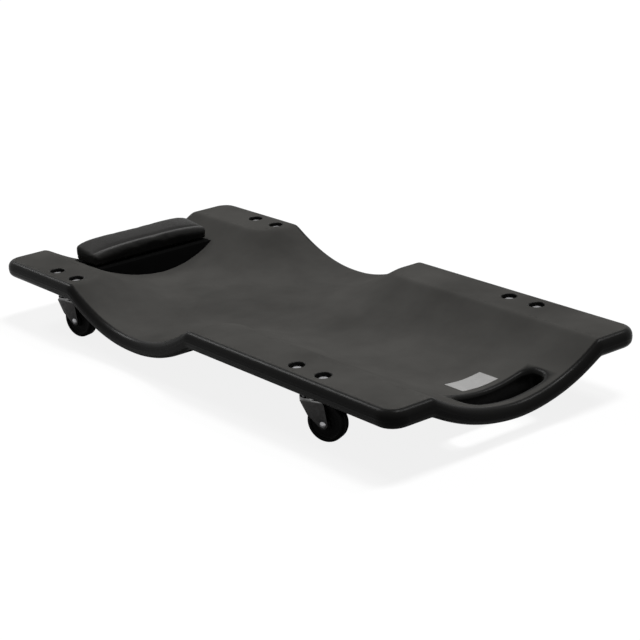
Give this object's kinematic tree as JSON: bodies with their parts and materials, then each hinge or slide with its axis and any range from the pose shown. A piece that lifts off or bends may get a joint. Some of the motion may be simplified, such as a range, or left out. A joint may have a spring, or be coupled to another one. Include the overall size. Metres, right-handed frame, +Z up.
{
  "type": "mechanic creeper",
  "caption": "Low rolling creeper: moulded deck with a body trough, dipped waist and foot hand-hold, padded headrest, swivel casters with ball races.",
  "frame": {"origin": "on the floor under the centre of the deck's plan", "axes": "+X along the deck from head to foot, +Y to the left hand of a person lying on it face up, +Z up"},
  "size_m": [0.906, 0.42, 0.1015],
  "materials": {
    "deck_plastic": "fine moulded grain, dark warm grey",
    "base_plastic": "black moulded plastic",
    "cushion_vinyl": "black-grey grained vinyl over foam",
    "wheel_rubber": "black hard rubber",
    "fork_steel": "dark grey plated sheet",
    "plate_steel": "black painted sheet",
    "ball_steel": "polished balls",
    "bright_steel": "bright zinc plated"
  },
  "bodies": {
    "creeper": {"deck": "deck_plastic", "headrest_base": "base_plastic", "headrest_cushion": "cushion_vinyl", "headrest_screws": "bright_steel", "deck_bolts": "bright_steel", "deck_washers": "bright_steel", "plate_nuts": "bright_steel", "plate_head_left": "plate_steel", "plate_head_right": "plate_steel", "plate_foot_left": "plate_steel", "plate_foot_right": "plate_steel", "kingpin_head_left": "bright_steel", "kingpin_head_right": "bright_steel", "kingpin_foot_left": "bright_steel", "kingpin_foot_right": "bright_steel", "balls_head_left": "ball_steel", "balls_head_right": "ball_steel", "balls_foot_left": "ball_steel", "balls_foot_right": "ball_steel"},
    "caster_head_left": {"fork_head_left": "fork_steel", "axle_head_left": "bright_steel", "bush_head_left": "bright_steel"},
    "roller_head_left": {"wheel_head_left": "wheel_rubber"},
    "caster_head_right": {"fork_head_right": "fork_steel", "axle_head_right": "bright_steel", "bush_head_right": "bright_steel"},
    "roller_head_right": {"wheel_head_right": "wheel_rubber"},
    "caster_foot_left": {"fork_foot_left": "fork_steel", "axle_foot_left": "bright_steel", "bush_foot_left": "bright_steel"},
    "roller_foot_left": {"wheel_foot_left": "wheel_rubber"},
    "caster_foot_right": {"fork_foot_right": "fork_steel", "axle_foot_right": "bright_steel", "bush_foot_right": "bright_steel"},
    "roller_foot_right": {"wheel_foot_right": "wheel_rubber"}
  },
  "joints": [
    {"name": "swivel_head_left", "type": "hinge", "parent": "creeper", "child": "caster_head_left", "pos_m": [-0.3107, 0.1817, 0.0561], "axis": [0, 0, 1], "continuous": true},
    {"name": "spin_head_left", "type": "hinge", "parent": "caster_head_left", "child": "roller_head_left", "pos_m": [-0.28946, 0.17834, 0.026], "axis": [0.1564, 0.9877, 0], "continuous": true},
    {"name": "swivel_head_right", "type": "hinge", "parent": "creeper", "child": "caster_head_right", "pos_m": [-0.3107, -0.1817, 0.0561], "axis": [0, 0, 1], "continuous": true},
    {"name": "spin_head_right", "type": "hinge", "parent": "caster_head_right", "child": "roller_head_right", "pos_m": [-0.28979, -0.17668, 0.026], "axis": [-0.2334, 0.9724, 0], "continuous": true},
    {"name": "swivel_foot_left", "type": "hinge", "parent": "creeper", "child": "caster_foot_left", "pos_m": [0.2664, 0.1817, 0.0561], "axis": [0, 0, 1], "continuous": true},
    {"name": "spin_foot_left", "type": "hinge", "parent": "caster_foot_left", "child": "roller_foot_left", "pos_m": [0.28726, 0.1869, 0.026], "axis": [-0.2419, 0.9703, 0], "continuous": true},
    {"name": "swivel_foot_right", "type": "hinge", "parent": "creeper", "child": "caster_foot_right", "pos_m": [0.2664, -0.1817, 0.0561], "axis": [0, 0, 1], "continuous": true},
    {"name": "spin_foot_right", "type": "hinge", "parent": "caster_foot_right", "child": "roller_foot_right", "pos_m": [0.28612, -0.17313, 0.026], "axis": [-0.3987, 0.9171, 0], "continuous": true}
  ]
}
